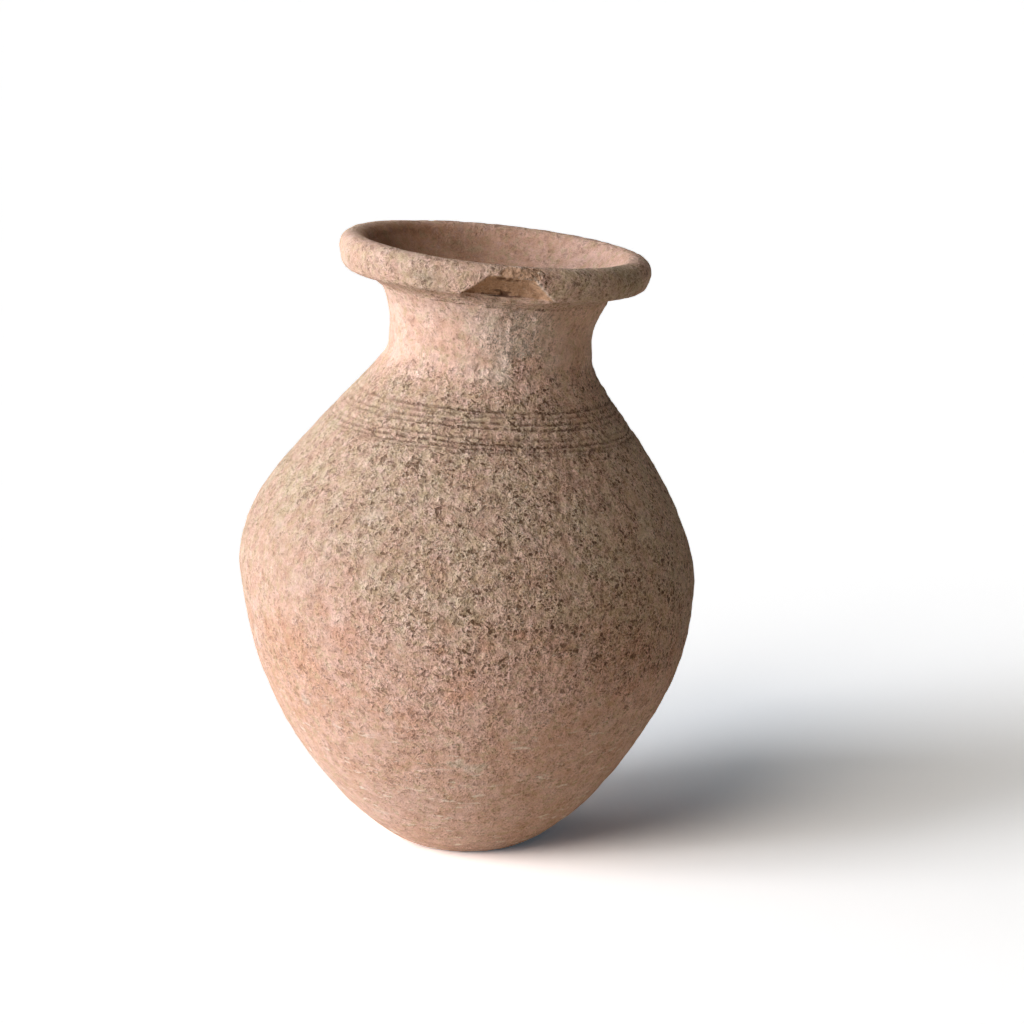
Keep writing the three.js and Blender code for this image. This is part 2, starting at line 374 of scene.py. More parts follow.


# Where the clay is weathered, smooth, scraped, stained or broken, and where warm shade is painted. All are 0 to
# 1 on the grid.
def surfaceMarks(grid):
    x, y, z = grid[..., 0], grid[..., 1], grid[..., 2]
    turn = np.degrees(np.arctan2(y, x))  # -90 is the front, 0 the right, 180 the left
    outer = spanMask("foot", "baseOut", "bodyOut", "shoulderOut", "neckOut")
    inner = spanMask("neckIn", "shoulderIn", "bodyIn", "baseIn", "floor")
    lip = spanMask("roll") * (1 - inner)
    rollShare = np.interp(np.arange(len(profile)), marks["roll"], (0, 1))[:, None]
    mouth = lip * ease(rollShare, 0.58, 0.7)  # the flare, inside the crest
    wide = noise(grid, 46, 1)
    patch = noise(grid, 19, 2)
    edge = 16 * wide + 9 * patch + 4 * noise(grid, 7, 3)
    w = wear
    weather = ease(z + edge, *w["weatherIn"]) * (1 - 0.75 * ease(z + 0.4 * edge, *w["weatherOut"]))
    weather = weather * outer + (lip - mouth) * (0.5 + 0.3 * patch)
    rough = 0.3 + 0.7 * ease(z + edge, *w["roughIn"])
    rough = rough * (1 - 0.7 * ease(z + 0.3 * edge, *w["roughOut"])) * outer
    rough += 0.6 * (lip - mouth) + 0.2 * mouth + 0.15 * inner
    # the skin is made less rough on the left and left front, the sides that face the light, so the painted
    # shade of its grain is weaker there
    smoothBelly = 0.2 * facing(turn, *w["smootherSide"]) + 0.25 * facing(turn, *w["smoothestSide"])
    rough *= 1 - 0.62 * facing(turn, *w["smoothSide"]) - smoothBelly * bump(z, 118, 45)
    scaly = facing(turn, *w["scalySide"]) * ease(z, *w["scalyIn"]) * (1 - ease(z, *w["scalyOut"])) * outer
    crumbly = facing(turn, *w["crumblySide"]) * ease(z, *w["crumblyIn"]) * (lip - mouth)
    rough = np.maximum(rough, np.maximum(0.9 * scaly, crumbly))
    scraped = (1 - ease(z + 0.5 * edge, *w["scrapedOut"])) * outer
    slip = ease(z + 0.3 * edge, *w["slipIn"]) * outer
    green = facing(turn, *w["greenSide"]) * ease(z, *w["greenIn"]) * (lip - mouth) * (0.6 + 0.4 * patch)
    green += facing(turn, *w["greenSpotSide"]) * bump(z, 242, 5) * lip * 0.6
    warm = facing(turn, *w["warmSide"]) * bump(z, 84, 36) * outer * (0.5 + 0.5 * patch)
    warm += bump(z, 66, 44) * outer * 0.25 * (1 + wide)
    ruddy = bump(z, 92, 60) * outer * ease(noise(grid, 11, 17) + 0.6 * noise(grid, 4, 18), 0.1, 0.9) * 0.32
    # a painted warm shade on the right front, the side turned from the light
    ruddy = np.maximum(ruddy, facing(turn, *w["ruddySide"]) * bump(z, 104, 38) * outer * (0.2 + 0.12 * patch))
    for side, height, across, tall in stains:
        ruddy = np.maximum(ruddy, flake(grid, side, height, across, tall, 0.35, 19) * outer)
    # a painted warm shade inside, on the side that the light misses
    warm += 0.95 * np.clip(mouth + inner, 0, 1) * (1 - facing(turn, *w["litInsideSide"]))
    combed = outer * (1 - 0.85 * facing(turn, *w["wornCombSide"]))
    combed = combed * (0.5 + 0.5 * ease(noise(grid * [1, 1, 0.4], 8.5, 50), -0.7, 0.2))
    return {
        "turn": turn, "outer": outer, "inner": inner, "lip": lip, "mouth": mouth,
        "combLevel": combLevel(grid), "combed": combed,
        "scaly": scaly, "crumbly": crumbly, "slip": np.clip(slip, 0, 1),
        "weather": np.clip(weather, 0, 1), "rough": np.clip(rough, 0, 1),
        "scraped": np.clip(scraped, 0, 1), "green": np.clip(green, 0, 1), "warm": np.clip(warm, 0, 1),
        "ruddy": np.clip(ruddy, 0, 1),
    }


def combLevel(grid):
    # height measured along the comb's own course, which climbs to the right and wavers a little
    x, z = grid[..., 0], grid[..., 2]
    course = x * np.where(x < 0, *np.tan(np.radians(combing["rise"])))
    return z - course - combing["wander"] * (noise(grid * [1, 1, 0.2], 17, 30) + 0.5 * noise(grid, 4.5, 80))


def combRipples(at):
    # the worn lines as soft dips; the material cuts the sharp part of each line
    dip = np.zeros(at["combLevel"].shape)
    for height, deep in zip(combing["heights"], combing["depths"]):
        dip = np.maximum(dip, deep * bump(at["combLevel"], height, 0.75 * combing["width"]))
    return dip * combing["ripple"] * at["outer"] * (1 - 0.6 * np.cos(np.radians(at["turn"])) ** 4)


clay = {
    "handShaping": 0.5,  # long soft unevenness
    "grain": 0.22,  # grit that stands out of the weathered skin
    "pitDepth": 0.8, "pitRadius": (0.7, 1.9), "pitSpacing": 6.0,
    "chaffDepth": 0.75, "chaffRadius": (0.5, 0.9), "chaffLength": (2.5, 8.0), "chaffSpacing": 9.0,
    "scraping": 0.2, "rings": 0.12, "innerRings": 0.3,  # marks of scraping, and of turning outside and inside
    "scales": 0.27,  # rough vertical smears on the front of the neck
    # single marks: degrees round the jar, height, half width, half height
    "limeBloom": (-90, 51.0, 9.0, 4.5), "hole": (-44, 100.0, 1.5, 1.3),
    "crumbs": (-80, 231.5, 3.4, 3.2),  # below the break
}
# Scars: degrees round the jar, height, half width, half height, depth, whiteness, seed of the edge.
scars = (
    (-177, 124.0, 9.0, 5.0, 1.2, 0.6, 21),
    (-163, 86.0, 2.0, 4.5, 0.4, 0.6, 22),
    (-140, 70.0, 3.0, 2.2, 0.2, 0.4, 23),
    (-115, 91.0, 2.2, 1.4, 0.15, 0.4, 25),
    (-111, 74.0, 2.4, 3.0, 0.1, 0.35, 26),
    (-131, 22.0, 5.5, 1.2, 0.1, 0.4, 27),
)
# Swellings: degrees round the jar and either way, height, reach up and down, how far out. The ledge on the
# left of the belly, the flatter wall above it, and three on the right of the neck.
swellings = (
    (180, 40, 111, 9, 0.5), (180, 40, 163, 24, -0.8),
    (0, 70, 227, 7, 0.6), (0, 70, 205.8, 9.5, 0.9), (0, 70, 217, 6, -0.3),
)


def relief(grid, at):
    # height of the skin along its normal, in mm, with how hollow and how pale each spot is; the hollow mark
    # holds soil and painted shade
    rough, outer, inner, lip = at["rough"], at["outer"], at["inner"], at["lip"]
    turn, z = at["turn"], grid[..., 2]
    skin = clay["handShaping"] * (noise(grid, 40, 5) + 0.4 * noise(grid, 15, 6)) * (outer + 0.6 * inner)
    skin += (rim["lumps"] * noise(grid, 24, 7) + rim["fineLumps"] * noise(grid, 9, 8)) * lip
    skin += clay["grain"] * rough * (noise(grid, 3.4, 9) + 0.8 * noise(grid, 1.9, 10))
    skin += clay["scraping"] * at["scraped"] * noise(grid * [0.12, 0.12, 1], 3.2, 11)
    skin += clay["rings"] * noise(grid * [0.1, 0.1, 1], 5.5, 12) * outer
    skin += clay["innerRings"] * inner * noise(grid * [0.05, 0.05, 1], 6.0, 13)
    # smears that run down the neck, and crumbs round the break: ridges where the noise crosses zero
    smear = 0.4 - np.abs(noise(grid * [1, 1, 0.45], 3.2, 14)) - 0.5 * np.abs(noise(grid * [1, 1, 0.6], 1.9, 15))
    skin += clay["scales"] * 2 * (at["scaly"] + 0.8 * at["crumbly"]) * smear
    for side, across, level, tall, out in swellings:
        skin += out * facing(turn, side, across) * bump(z, level, tall) * outer
    # the groove over the rim's lower edge
    skin -= 0.45 * lip * facing(turn, -122, 30) * bump(z, 240.6 + 0.4 * noise(grid, 14, 16), 1.8)
    warp = 0.9 * np.stack([noise(grid, 2.6, k) for k in (60, 61, 62)], -1)
    where = ease(noise(grid, 13, 63) + 0.8 * facing(turn, -84, 34) * bump(z, 198, 9), -0.35, 0.3)
    pits = scattered(grid + warp, clay["pitSpacing"], 100, 0.7, clay["pitRadius"]) * where * (0.2 + 0.8 * rough)
    chaff = scattered(grid + 0.4 * warp, clay["chaffSpacing"], 200, 0.8, clay["chaffRadius"],
                      clay["chaffLength"])
    chaff *= (0.25 + 0.75 * rough) * (1 - 0.8 * lip)
    skin -= (clay["pitDepth"] * pits + clay["chaffDepth"] * chaff) * (1 - 0.8 * inner) + combRipples(at)
    pale = np.zeros(skin.shape)
    for side, height, wide, tall, depth, white, seed in scars:
        scar = flake(grid, side, height, wide, tall, 1.0, seed) * outer
        skin -= depth * scar
        pale = np.maximum(pale, white * scar)
    lime = flake(grid, *clay["limeBloom"], 1.0, 24) * outer
    lime = lime * ease(noise(grid * [0.4, 0.4, 1], 2.4, 31), -0.5, 0.4)
    hole = flake(grid, *clay["hole"], 1.0, 28) * outer
    crumbs = flake(grid, *clay["crumbs"], 1.0, 34) * ease(noise(grid, 1.9, 35), -0.4, 0.3)
    skin -= 1.2 * hole + 0.5 * crumbs
    # the hollow mark: soil in pits, chaff, the hole and the crumbs, with painted shade in them
    hollow = 1.3 * pits + 0.9 * chaff * (1 - 0.5 * inner) + 1.5 * hole + 0.7 * crumbs
    hollow = np.clip(hollow, 0, 1) * (1 - 0.7 * pale)
    # painted shade inside the mouth and the body, on the side that the light misses
    paintedInnerShade = 0.3 * facing(turn, 165, 95) + 0.7 * facing(turn, 155, 85) * (1 - ease(z, 236, rim["height"]))
    paintedInnerShade += 0.2 * (1 - facing(turn, *wear["litInsideSide"]))
    paintedInnerShade *= np.clip(at["mouth"] + inner, 0, 1) * (1 + 0.4 * noise(grid, 12, 29))
    hollow = np.maximum(hollow, paintedInnerShade)
    # painted light in patches on the smears at the front of the neck
    pale = np.maximum(pale, 0.45 * at["scaly"] * ease(noise(grid, 6, 33), -0.5, 0.4))
    return skin, hollow, pale, lime


rimBreak = {
    "across": 5.6, "topWidth": 13.0, "footWidth": 36.0, "topDrop": 3.8, "hollowDrop": 5.0,
    "hollowInset": 9.9, "ledge": 2.6, "footRise": 4.0, "clearance": 2.0,
    "edge": 0.6,  # run of the broken edge
    "slope": (2.2, 5.5),  # the same on the right at top and foot, where the clay broke at a slant
    "rightReach": 2.6,  # how much wider the skin is lost on the right than in the CAD
    "ragged": 0.6,  # how far the edge wanders
    "scoopRun": 1.5,  # how far the scoop on its left runs out along the rim's lower edge
    "crevice": 1.6,  # depth of the cracks along the top and the foot of the break
}


def breakRim(grid, at):
    # Points of the lip inside the break's front outline move back to the hollow's own profile.
    # The profile is a quadratic curve from the rim's face to a ledge beside the crease.
    b = rimBreak
    top, foot = rim["height"] - b["topDrop"], jar["creaseHeight"] + b["footRise"]
    sill = foot + 2.0  # where the hollow meets the crumbled top of the neck
    curve = bezier((rim["radius"] + b["clearance"], top),
                   (rim["radius"] - b["hollowInset"], rim["height"] - b["hollowDrop"]),
                   (jar["creaseRadius"] + b["ledge"], foot))
    x, y, z = grid[..., 0], grid[..., 1], grid[..., 2]
    ragged = noise(grid, 5.0, 40) + 0.6 * noise(grid, 1.8, 41)
    aside = x - b["across"]
    share = np.clip((top - z) / (top - foot), 0, 1)
    # to the right the outline is ragged and straight, to the left a smooth scoop that runs out level
    right = (b["topWidth"] + (b["footWidth"] - b["topWidth"]) * share) / 2 + b["rightReach"]
    scoopShare = np.clip((top + 2.8 - z) / 11, 0, 1)
    left = b["topWidth"] / 2 - 1.3 + 12.2 * scoopShare + b["scoopRun"] * (1 - np.sqrt(1 - scoopShare ** 4))
    scoop = ease(-aside, 3, 7)
    rag = b["ragged"] * ragged * (1 - 0.8 * scoop)
    sideways = np.where(aside > 0, right - aside, left + aside) * 0.7 + rag
    ceiling = top + 2.4 * scoop - z + rag
    slant = ease(aside, b["topWidth"] / 2 - 3, b["topWidth"] / 2)
    run = b["edge"] + slant * (b["slope"][0] + (b["slope"][1] - b["slope"][0]) * share - b["edge"])
    front = (y < 0) * at["lip"]
    lost = np.minimum(np.clip(sideways / run, 0, 1), ease(ceiling, 0, b["edge"])) * front
    gap = noise(grid * [0.35, 1, 1], 2.6, 44) + 0.5 * noise(grid, 1.3, 47)
    crackAndShadow = 2.4 * bump(z, top - 1.1 + 1.1 * gap, 1.3) * ease(gap, -0.8, -0.2) * (1 - scoop) * (1 - slant)
    atSill = bump(z, sill + 0.1 + 0.8 * gap, 1.5) * ease(noise(grid * [0.6, 1, 1], 1.9, 45), -0.4, 0.0)
    atSill *= ease(aside, -12, -8) * (1 - slant)
    crackAndShadow = np.clip(np.maximum(crackAndShadow, 2.0 * atSill), 0, 1)
    layered = 0.5 * noise(grid * [0.4, 1, 1], 2.2, 42) + 0.7 * noise(grid, 3.0, 43)
    below = 1 - ease(z, sill - 0.7, sill)
    back = np.interp(z, curve[::-1, 1], curve[::-1, 0]) + layered - b["crevice"] * crackAndShadow + 0.9 * below
    moved = grid.copy()
    moved[..., 1] += lost * np.maximum(0, -y - back)
    broken = ease(lost, 0.02, 0.2) * (-y > back - 0.3) * (1 - 0.85 * below)
    # above the break the skin has spalled away to crumbs
    spall = ease(aside + 6.2 - 1.2 * (z - top), 0, 0.8) * (1 - ease(aside, 7, 15)) * ease(z, top - 1, top)
    spall = ease(spall + 0.3 * ragged, 0.3, 0.6) * (1 - lost)
    spall = spall * (1 - ease(z, rim["height"] - 0.6, rim["height"])) * front
    spall *= 1 - at["mouth"]
    moved[..., 1] += spall * (0.6 + 0.6 * noise(grid, 1.5, 46))
    # the narrow fresh edge on the right gets a painted highlight, and the crumbled skin below the sill painted
    # light; both are paler
    paintedHighlight = ease(sideways, -0.5, 0.0) * (1 - ease(sideways, 0.1, 0.7)) * slant
    paintedHighlight = paintedHighlight * (z > sill - 1) * ease(ceiling, -1, 0) * front
    # painted light in specks below the sill, lifting the shade of the cove under the rim
    paintedLightBelowSill = lost * below * ease(noise(grid, 1.8, 48), -0.4, 0.5)
    at["rough"] = at["rough"] * (1 - 0.65 * broken)
    # painted shadow in the cracks under the break's overhang and at its foot by the crease
    crevice = 0.95 * lost * ease(crackAndShadow, 0.25, 0.8)
    return moved, np.maximum(broken, 0.85 * spall), crevice, np.maximum(paintedHighlight, 0.25 * paintedLightBelowSill)


def makeGrid():
    # the turned profile, plus the skin's height along its normal; then the sag, the break and the settling
    grid = ringed(profile)
    at = surfaceMarks(grid)
    skin, hollow, pale, lime = relief(grid, at)
    skin = skin * (1 - spanMask("foot"))
    out = ringed(np.stack([normals[:, 0], np.zeros(len(profile))], -1))
    out[..., 2] = normals[:, 1:]
    grid = grid + out * skin[..., None]
    sag = rim["undersideSag"] * at["lip"] * (1 - ease(grid[..., 2], 236, 244))
    grid[..., 2] -= sag * (facing(at["turn"], 180, 80) - 0.3 * facing(at["turn"], -20, 60))
    grid, broken, crackAndShadow, paintedHighlight = breakRim(grid, at)
    # the break's own colour replaces the hollow mark there, and the painted shadow of its cracks joins it
    hollow = np.maximum(hollow * (1 - broken), crackAndShadow)
    # the painted highlight and painted light of the break join the pale mark
    pale = np.maximum(pale, 0.55 * paintedHighlight)
    at.update(hollow=hollow, pale=pale, lime=lime, broken=broken)
    grid = settled(grid) * mm
    return np.clip(grid, cadBox[0], cadBox[1]), at


grid, worn = makeGrid()
print("surface worked out: %d points, %.1f s" % (grid.shape[0] * grid.shape[1], time.time() - startTime))

# what the materials read of the wear and of the painted light and shade, one number for each point
attributes = ("slip", "weather", "rough", "scraped", "green", "warm", "ruddy", "hollow", "pale", "lime",
              "broken", "combLevel", "combed")


def clayPiece(name, node, strips, material):
    # rows of the grid round one section, closed on itself or on the axis by a single point
    rows = np.concatenate([np.arange(marks[s][0], marks[s][1] + 1) for s in strips])
    rows = rows[np.concatenate([[True], np.diff(rows) != 0])]
    columns = len(theta)
    points = grid[rows].reshape(-1, 3)
    closed = rows[0] != 0
    count = len(rows)
    ring = np.arange(count if closed else count - 1)[:, None]
    turn = np.arange(columns)[None, :]
    nextRing, nextTurn = (ring + 1) % count, (turn + 1) % columns
    quads = np.stack([ring * columns + turn, ring * columns + nextTurn,
                      nextRing * columns + nextTurn, nextRing * columns + turn], -1).reshape(-1, 4)
    ends = []
    if not closed:
        poles = [points[:columns].mean(0), points[-columns:].mean(0)]
        start, last = len(points), (count - 1) * columns
        points = np.vstack([points, poles])
        turns = turn[0]
        ends = [np.stack([np.full(columns, start), (turns + 1) % columns, turns], -1),
                np.stack([np.full(columns, start + 1), last + turns, last + (turns + 1) % columns], -1)]
    loops = np.concatenate([quads.ravel()] + [e.ravel() for e in ends])
    sizes = np.concatenate([np.full(len(quads), 4)] + [np.full(len(e), 3) for e in ends])
    mesh = bpy.data.meshes.new(name)
    mesh.vertices.add(len(points))
    mesh.vertices.foreach_set("co", points.astype(np.float32).ravel())
    mesh.loops.add(len(loops))
    mesh.loops.foreach_set("vertex_index", loops.astype(np.int32))
    mesh.polygons.add(len(sizes))
    mesh.polygons.foreach_set("loop_start", np.concatenate([[0], np.cumsum(sizes)[:-1]]).astype(np.int32))
    mesh.update(calc_edges=True)
    mesh.validate()
    mesh.polygons.foreach_set("use_smooth", np.ones(len(sizes), bool))
    for key in attributes:
        values = np.broadcast_to(worn[key], grid.shape[:2])[rows].ravel()
        values = np.concatenate([values, np.zeros(len(points) - len(values))])
        layer = mesh.attributes.new(key, "FLOAT", "POINT")
        layer.data.foreach_set("value", values.astype(np.float32))
    # the corners where the wall turns into a joint's face are sharp
    jumps = np.flatnonzero(np.abs(np.diff(rows)) != 1)
    sharpRings = set(np.concatenate([jumps, jumps + 1]).tolist())
    if closed:
        sharpRings |= {0, count - 1}
    pairs = np.empty(len(mesh.edges) * 2, np.int32)
    mesh.edges.foreach_get("vertices", pairs)
    level = pairs.reshape(-1, 2) // columns
    sharp = (level[:, 0] == level[:, 1]) & np.isin(level[:, 0], list(sharpRings))
    mesh.attributes.new("sharp_edge", "BOOLEAN", "EDGE").data.foreach_set("value", sharp)
    mesh.materials.append(material)
    piece = bpy.data.objects.new(name, mesh)
    bpy.context.scene.collection.objects.link(piece)
    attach(piece, "root")
    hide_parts(node)
    print("  %s: %d points, %d triangles" % (name, len(points), int((sizes - 2).sum())))
    return piece


def linear(colour):
    # an sRGB hex colour as linear light: c / 12.92, or ((c + 0.055) / 1.055)^2.4 for all but the darkest
    parts = [int(colour[i:i + 2], 16) / 255 for i in (1, 3, 5)]
    return tuple(c / 12.92 if c <= 0.04045 else ((c + 0.055) / 1.055) ** 2.4 for c in parts) + (1,)


def node(tree, kind, inputs=(), output=0, **settings):
    # Adds a node, sets its properties, and fills its sockets, in order or by name, with values or links.
    # Gives one of its outputs, if it has any.
    made = tree.nodes.new("ShaderNode" + kind)
    for key, value in settings.items():
        setattr(made, key, value)
    for key, value in (inputs.items() if isinstance(inputs, dict) else enumerate(inputs)):
        if isinstance(value, bpy.types.NodeSocket):
            tree.links.new(value, made.inputs[key])
        else:
            made.inputs[key].default_value = value
    return made.outputs[output] if len(made.outputs) else None


colours = {
    "clay": "#D5B19E",  # pink-buff fired clay
    "slip": "#E1BDAA",  # finer clay wiped over the neck
    "orange": "#D3A483",  # where the fire reached it more; also a painted warm shade inside the mouth
    "grey": "#CBB098",  # weathered skin
    "mauve": "#C9A596", "moss": "#BEA985",  # faint tints of the weathered skin
    "ruddy": "#C08665",  # redder where it was fired hotter; also a painted warm shade on the right front
    "soilShadeBrown": "#5E3B22",  # soil in hollows, and painted shade in pits, grooves, cracks and the shaded inside
    "grit": "#F0DFCC",  # pale sand grains, and the painted highlight on the raised ones
    "chalk": "#E4D9C8",  # lime bloom and fresh scars; also painted highlights and light on the break and the neck's smears
    "green": "#8F8A6E",  # dried algae
    "break": "#B88D6B",  # clay inside the wall
}

patterns = {  # width in mm, octaves, roughness, twist, place and stretch of each noise
    "broad": (45, 3, 0.5, 0, 0), "blotch": (13, 4, 0.6, 0, 0), "mottle": (4.5, 3, 0.6, 0, 0.3),
    "hue": (3.6, 3, 0.7, 0.3, 1.1), "patches": (8.0, 2, 0.5, 0.5, 0.9),
    "flecks": (2.6, 2, 0.6, 0.5, 0.2, (0.35, 0.35, 1.3)),  # drawn out along the scraping
    "granules": (0.8, 2, 0.8, 0, 0), "clumps": (2.0, 2, 0.7, 0, 1.7), "crumbs": (2.0, 3, 0.75, 0, 1.5),
    "pits": (1.5, 3, 0.7, 0, 0.5), "grit": (1.0, 1, 0.5, 0, 0.7), "combShake": (1.7, 2, 0.7, 0, 1.3),
}
bands = {  # the noise that a mask comes from, its values that count as none and full, and what they give
    "broad": ("broad", 0.3, 0.7, 0.1, 0.5), "tint": ("blotch", 0.36, 0.64), "blotch": ("blotch", 0.3, 0.7),
    "mottle": ("mottle", 0.3, 0.7), "mauve": ("hue", 0.5, 0.64), "moss": ("hue", 0.5, 0.36),
    "patches": ("patches", 0.36, 0.6, 0.45, 1.0), "flecks": ("flecks", 0.6, 0.72),
    "granules": ("granules", 0.37, 0.54), "clumps": ("clumps", 0.38, 0.62),
    "chalky": ("granules", 0.36, 0.6, 0.1, 0.5), "crumbs": ("crumbs", 0.44, 0.52),
    "pits": ("pits", 0.565, 0.64), "grit": ("grit", 0.64, 0.72),
}
pores = (  # size of the cells in mm, reach and share of the pits in them, stretch and tilt
    (2.0, 0.45, 0.55, 1.0, 0.0), (4.4, 0.32, 0.4, 1.0, 0.0),
    (1.5, 0.4, 0.3, 3.5, 0.7), (1.5, 0.4, 0.3, 4.0, -0.9), (1.4, 0.4, 0.3, 3.0, 1.6),
)
tints = {  # how far each mark takes the colour over
    "warm": 0.85, "slip": 1.0, "mauve": 0.55, "moss": 0.5, "ruddy": 1.0, "green": 0.7, "broken": 0.85,
    "gritty": 0.6, "streak": 1.0, "soilAndShade": 1.0, "pale": 0.75, "chalky": 1.0,
    "pitted": 0.5, "hollow": 0.7, "holes": 0.85, "groove": 0.88,
}
shades = {  # the darkest and lightest that each pattern makes the colour
    "mottle": (0.88, 1.11), "blotch": (0.95, 1.05), "granules": (0.45, 1.27), "clumps": (0.82, 1.18),
}
skinHeights = {"pitted": -0.6, "holes": -0.8, "groove": -0.7, "gritty": 0.25, "streak": 0.1}  # mm
skinShares = {  # what rough skin adds of each, and what all skin has
    "pitted": (0.95, 0.05), "gritty": (0.7, 0.25), "holes": (0.9, 0.1), "grainy": (0.92, 0.08),
}
unglazed = {"Roughness": 0.92, "IOR": 1.5, "Specular IOR Level": 0.25, "Diffuse Roughness": 0.6}


def earthenware(name, relief, pitting, streaks):
    # Low-fired earthenware, unglazed: dull and porous, with sand and burnt-out chaff in it.
    # It gives the eye no gloss, a soft even falloff and a skin broken by grains and pits about 1 mm across.
    material = bpy.data.materials.new(name)
    material.use_nodes = True
    tree = material.node_tree
    tree.nodes.clear()

    place = node(tree, "TexCoord", output="Object")
    marksOf = {k: node(tree, "Attribute", output="Fac", attribute_name=k) for k in attributes}
    noises = {}
    for pattern, (width, octaves, rough, twist, shift, *stretch) in patterns.items():
        moved = node(tree, "Mapping", {"Vector": place, "Location": (shift,) * 3,
                                       "Scale": stretch[0] if stretch else (1, 1, 1)})
        noises[pattern] = node(tree, "TexNoise", {"Vector": moved, "Scale": 1000 / width, "Detail": octaves,
                                                  "Roughness": rough, "Distortion": twist}, "Fac")
    # a mask goes from none to full over its band by the smooth step 3t^2 - 2t^3
    masks = {}
    for mask, (pattern, *band) in bands.items():
        masks[mask] = node(tree, "MapRange", (noises[pattern], *band), interpolation_type="SMOOTHSTEP")

    def dotsOf(size, reach, chance, stretch, tilt):
        # pits strewn one to a cell, in this share of the cells; reach is the widest one's radius in cells.
        # Stretched cells, turned by tilt, give the marks of burnt-out chaff.
        moved = node(tree, "Mapping", {"Vector": place, "Location": (size,) * 3, "Scale": (1, 1, stretch),
                                       "Rotation": (0.3 * tilt, tilt, 0)}, vector_type="TEXTURE")
        stir = node(tree, "TexNoise", {"Vector": moved, "Scale": 1200 / size, "Detail": 1.0}, "Color")
        shaken = node(tree, "VectorMath", (stir, (0.7 * size * mm,) * 3, moved), operation="MULTIPLY_ADD")
        cells = node(tree, "TexVoronoi", {"Vector": shaken, "Scale": 1000 / size}).node.outputs
        luck = node(tree, "SeparateColor", (cells["Color"],))
        radius = node(tree, "MapRange", (luck, 1 - chance, 1.0, 0.0, reach), interpolation_type="SMOOTHSTEP")
        within = node(tree, "Math", (radius, cells["Distance"]), operation="SUBTRACT")
        return node(tree, "MapRange", (within, 0.0, 0.1), interpolation_type="SMOOTHSTEP")

    def onSkin(amount, mark, strength=1.0):
        # an amount, weighed by how rough the skin is
        added, everywhere = skinShares[mark]
        weight = node(tree, "Math", (coarse, added * strength, everywhere * strength), operation="MULTIPLY_ADD")
        return node(tree, "Math", (amount, weight), operation="MULTIPLY")

    def tinted(colour, amount, mark, paint):
        # the colour taken towards a paint, where the amount says and as far as the mark's tint goes
        share = node(tree, "Math", (amount, tints[mark]), operation="MULTIPLY")
        return node(tree, "Mix", {0: share, 6: colour, 7: linear(colours[paint])}, 2, data_type="RGBA")

    def shaded(colour, value, darkest, lightest, brown=0.5):
        # the colour darker and browner or lighter and pinker, by a factor that follows a 0 to 1 value
        dark = [darkest * (1 + k * brown) for k in (0.08, -0.035, -0.14)] + [1]
        light = [lightest * (1 + k * brown) for k in (-0.02, 0, 0.05)] + [1]
        factor = node(tree, "Mix", {0: value, 6: dark, 7: light}, 2, data_type="RGBA")
        return node(tree, "Mix", {0: 1.0, 6: colour, 7: factor}, 2, data_type="RGBA", blend_type="MULTIPLY")

    # the rough skin comes in patches, with smoother clay between them
    coarse = node(tree, "Math", (marksOf["rough"], masks["patches"]), operation="MULTIPLY")
    pitted = onSkin(masks["pits"], "pitted", pitting)
    gritty = onSkin(masks["grit"], "gritty")
    grainy = onSkin(1.0, "grainy")
    holes = 0.0
    for pore in pores:
        holes = node(tree, "Math", (holes, dotsOf(*pore)), operation="MAXIMUM")
    holes = onSkin(holes, "holes", pitting)

    # the comb's lines: the depth of the nearest one, crumbled by the grit beside it
    level = node(tree, "Math", (marksOf["combLevel"], combing["shake"] / 2), operation="SUBTRACT")
    level = node(tree, "Math", (noises["combShake"], combing["shake"], level), operation="MULTIPLY_ADD")
    groove = 0.0
    for height, deep in zip(combing["heights"], combing["depths"]):
        off = node(tree, "Math", (level, height), operation="SUBTRACT")
        off = node(tree, "Math", (off,), operation="ABSOLUTE")
        line = node(tree, "MapRange", (off, combing["width"] / 2, 0.1, 0.0, deep),
                    interpolation_type="SMOOTHSTEP")
        groove = node(tree, "Math", (groove, line), operation="MAXIMUM")
    whole = node(tree, "Math", (masks["crumbs"], marksOf["combed"]), operation="MULTIPLY")
    groove = node(tree, "Math", (groove, whole), operation="MULTIPLY")

    # clean clay above and below, weathered skin between, and their stains
    clayColour = tinted(linear(colours["clay"]), marksOf["warm"], "warm", "orange")
    clayColour = tinted(clayColour, marksOf["slip"], "slip", "slip")
    tint = node(tree, "Mix", {0: masks["tint"], 6: linear(colours["mauve"]), 7: linear(colours["moss"])}, 2,
                data_type="RGBA")
    greyColour = node(tree, "Mix", {0: masks["broad"], 6: linear(colours["grey"]), 7: tint}, 2,
                      data_type="RGBA")
    colour = node(tree, "Mix", {0: marksOf["weather"], 6: clayColour, 7: greyColour}, 2, data_type="RGBA")
    colour = tinted(colour, masks["mauve"], "mauve", "mauve")
    colour = tinted(colour, masks["moss"], "moss", "moss")
    colour = tinted(colour, marksOf["ruddy"], "ruddy", "ruddy")
    colour = shaded(colour, masks["mottle"], *shades["mottle"])
    colour = shaded(colour, masks["blotch"], *shades["blotch"])
    colour = tinted(colour, marksOf["green"], "green", "green")
    colour = tinted(colour, marksOf["broken"], "broken", "break")
    # painted light and shade of the grains' relief: the colour goes darker and browner between the grains and
    # paler on them
    grained = shaded(colour, masks["granules"], *shades["granules"], brown=1.0)
    grained = shaded(grained, masks["clumps"], *shades["clumps"])
    colour = node(tree, "Mix", {0: grainy, 6: colour, 7: grained}, 2, data_type="RGBA")
